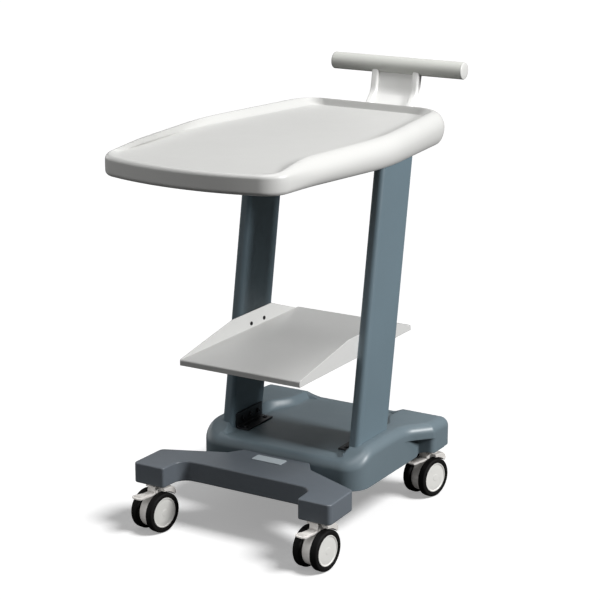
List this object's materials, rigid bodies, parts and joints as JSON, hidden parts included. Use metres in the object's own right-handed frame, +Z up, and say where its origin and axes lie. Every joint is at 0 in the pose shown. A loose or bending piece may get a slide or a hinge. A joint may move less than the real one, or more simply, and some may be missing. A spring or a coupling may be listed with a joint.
{
  "type": "ultrasound trolley",
  "caption": "Mobile trolley for a portable ultrasound machine: tray table, push handle, middle shelf, leaning columns and a low base on swivelling braked twin-wheel casters.",
  "frame": {"origin": "on the floor, below the middle of the trolley's bounding box", "axes": "+Z up; -Y towards the front, where the user stands; +Y towards the push handle; +X to the right of someone looking at the front"},
  "size_m": [0.4116, 0.7832, 0.803],
  "materials": {
    "white_plastic": "moulded plastic, fine satin grain",
    "grey_plastic": "moulded plastic, fine satin grain",
    "slate_plastic": "moulded plastic, satin, fine leather-like grain",
    "slate_paint": "satin powder coat",
    "shelf_paint": "satin powder coat",
    "black_steel": "black coated steel",
    "bright_steel": "zinc plated",
    "caster_plastic": "moulded nylon, satin",
    "hub_plastic": "smooth moulded plastic",
    "tyre_rubber": "non-marking rubber tread",
    "label_plastic": "plain blank label plate"
  },
  "bodies": {
    "trolley": {"front_beam": "slate_paint", "rear_beam": "slate_paint", "base_frame": "slate_paint", "base_hood": "slate_plastic", "label_plate": "label_plastic", "left_column": "slate_paint", "right_column": "slate_paint", "left_column_mount_plate": "black_steel", "right_column_mount_plate": "black_steel", "left_foot_bracket": "black_steel", "right_foot_bracket": "black_steel", "left_foot_bolts": "bright_steel", "right_foot_bolts": "bright_steel", "shelf": "shelf_paint", "left_shelf_screws": "black_steel", "right_shelf_screws": "black_steel", "table_top": "white_plastic", "table_underside": "white_plastic", "left_table_rail": "black_steel", "right_table_rail": "black_steel", "front_cross_rail": "black_steel", "rear_cross_rail": "black_steel", "handle_bracket": "white_plastic", "handle_bar": "grey_plastic", "left_handle_cap": "white_plastic", "right_handle_cap": "white_plastic", "front_left_caster_stem": "bright_steel", "front_right_caster_stem": "bright_steel", "rear_left_caster_stem": "bright_steel", "rear_right_caster_stem": "bright_steel"},
    "front_left_swivel": {"front_left_caster_housing": "caster_plastic", "front_left_caster_axle": "bright_steel"},
    "front_left_pedal": {"front_left_brake_pedal": "caster_plastic"},
    "front_left_left_wheel": {"front_left_left_tyre": "tyre_rubber", "front_left_left_hub": "hub_plastic"},
    "front_left_right_wheel": {"front_left_right_tyre": "tyre_rubber", "front_left_right_hub": "hub_plastic"},
    "front_right_swivel": {"front_right_caster_housing": "caster_plastic", "front_right_caster_axle": "bright_steel"},
    "front_right_pedal": {"front_right_brake_pedal": "caster_plastic"},
    "front_right_left_wheel": {"front_right_left_tyre": "tyre_rubber", "front_right_left_hub": "hub_plastic"},
    "front_right_right_wheel": {"front_right_right_tyre": "tyre_rubber", "front_right_right_hub": "hub_plastic"},
    "rear_left_swivel": {"rear_left_caster_housing": "caster_plastic", "rear_left_caster_axle": "bright_steel"},
    "rear_left_pedal": {"rear_left_brake_pedal": "caster_plastic"},
    "rear_left_left_wheel": {"rear_left_left_tyre": "tyre_rubber", "rear_left_left_hub": "hub_plastic"},
    "rear_left_right_wheel": {"rear_left_right_tyre": "tyre_rubber", "rear_left_right_hub": "hub_plastic"},
    "rear_right_swivel": {"rear_right_caster_housing": "caster_plastic", "rear_right_caster_axle": "bright_steel"},
    "rear_right_pedal": {"rear_right_brake_pedal": "caster_plastic"},
    "rear_right_left_wheel": {"rear_right_left_tyre": "tyre_rubber", "rear_right_left_hub": "hub_plastic"},
    "rear_right_right_wheel": {"rear_right_right_tyre": "tyre_rubber", "rear_right_right_hub": "hub_plastic"}
  },
  "joints": [
    {"name": "front_left_swivel_turn", "type": "hinge", "parent": "trolley", "child": "front_left_swivel", "pos_m": [-0.1705, -0.2065, 0.085], "axis": [0, 0, 1], "continuous": true},
    {"name": "front_left_left_wheel_spin", "type": "hinge", "parent": "front_left_swivel", "child": "front_left_left_wheel", "pos_m": [-0.17222, -0.21737, 0.0375], "axis": [0.9877, -0.1564, 0], "continuous": true},
    {"name": "front_left_right_wheel_spin", "type": "hinge", "parent": "front_left_swivel", "child": "front_left_right_wheel", "pos_m": [-0.17222, -0.21737, 0.0375], "axis": [0.9877, -0.1564, 0], "continuous": true},
    {"name": "front_left_brake_press", "type": "hinge", "parent": "front_left_swivel", "child": "front_left_pedal", "pos_m": [-0.17355, -0.22576, 0.0717], "axis": [0.9877, -0.1564, 0], "range_deg": [0, 8]},
    {"name": "front_right_swivel_turn", "type": "hinge", "parent": "trolley", "child": "front_right_swivel", "pos_m": [0.1705, -0.2065, 0.085], "axis": [0, 0, 1], "continuous": true},
    {"name": "front_right_left_wheel_spin", "type": "hinge", "parent": "front_right_swivel", "child": "front_right_left_wheel", "pos_m": [0.16935, -0.21744, 0.0375], "axis": [0.9945, -0.1045, 0], "continuous": true},
    {"name": "front_right_right_wheel_spin", "type": "hinge", "parent": "front_right_swivel", "child": "front_right_right_wheel", "pos_m": [0.16935, -0.21744, 0.0375], "axis": [0.9945, -0.1045, 0], "continuous": true},
    {"name": "front_right_brake_press", "type": "hinge", "parent": "front_right_swivel", "child": "front_right_pedal", "pos_m": [0.16846, -0.22589, 0.0717], "axis": [0.9945, -0.1045, 0], "range_deg": [0, 8]},
    {"name": "rear_left_swivel_turn", "type": "hinge", "parent": "trolley", "child": "rear_left_swivel", "pos_m": [-0.1705, 0.2065, 0.085], "axis": [0, 0, 1], "continuous": true},
    {"name": "rear_left_left_wheel_spin", "type": "hinge", "parent": "rear_left_swivel", "child": "rear_left_left_wheel", "pos_m": [-0.17203, 0.19561, 0.0375], "axis": [0.9903, -0.1392, 0], "continuous": true},
    {"name": "rear_left_right_wheel_spin", "type": "hinge", "parent": "rear_left_swivel", "child": "rear_left_right_wheel", "pos_m": [-0.17203, 0.19561, 0.0375], "axis": [0.9903, -0.1392, 0], "continuous": true},
    {"name": "rear_left_brake_press", "type": "hinge", "parent": "rear_left_swivel", "child": "rear_left_pedal", "pos_m": [-0.17321, 0.18719, 0.0717], "axis": [0.9903, -0.1392, 0], "range_deg": [0, 8]},
    {"name": "rear_right_swivel_turn", "type": "hinge", "parent": "trolley", "child": "rear_right_swivel", "pos_m": [0.1705, 0.2065, 0.085], "axis": [0, 0, 1], "continuous": true},
    {"name": "rear_right_left_wheel_spin", "type": "hinge", "parent": "rear_right_swivel", "child": "rear_right_left_wheel", "pos_m": [0.16821, 0.19574, 0.0375], "axis": [0.9781, -0.2079, 0], "continuous": true},
    {"name": "rear_right_right_wheel_spin", "type": "hinge", "parent": "rear_right_swivel", "child": "rear_right_right_wheel", "pos_m": [0.16821, 0.19574, 0.0375], "axis": [0.9781, -0.2079, 0], "continuous": true},
    {"name": "rear_right_brake_press", "type": "hinge", "parent": "rear_right_swivel", "child": "rear_right_pedal", "pos_m": [0.16645, 0.18743, 0.0717], "axis": [0.9781, -0.2079, 0], "range_deg": [0, 8]}
  ]
}
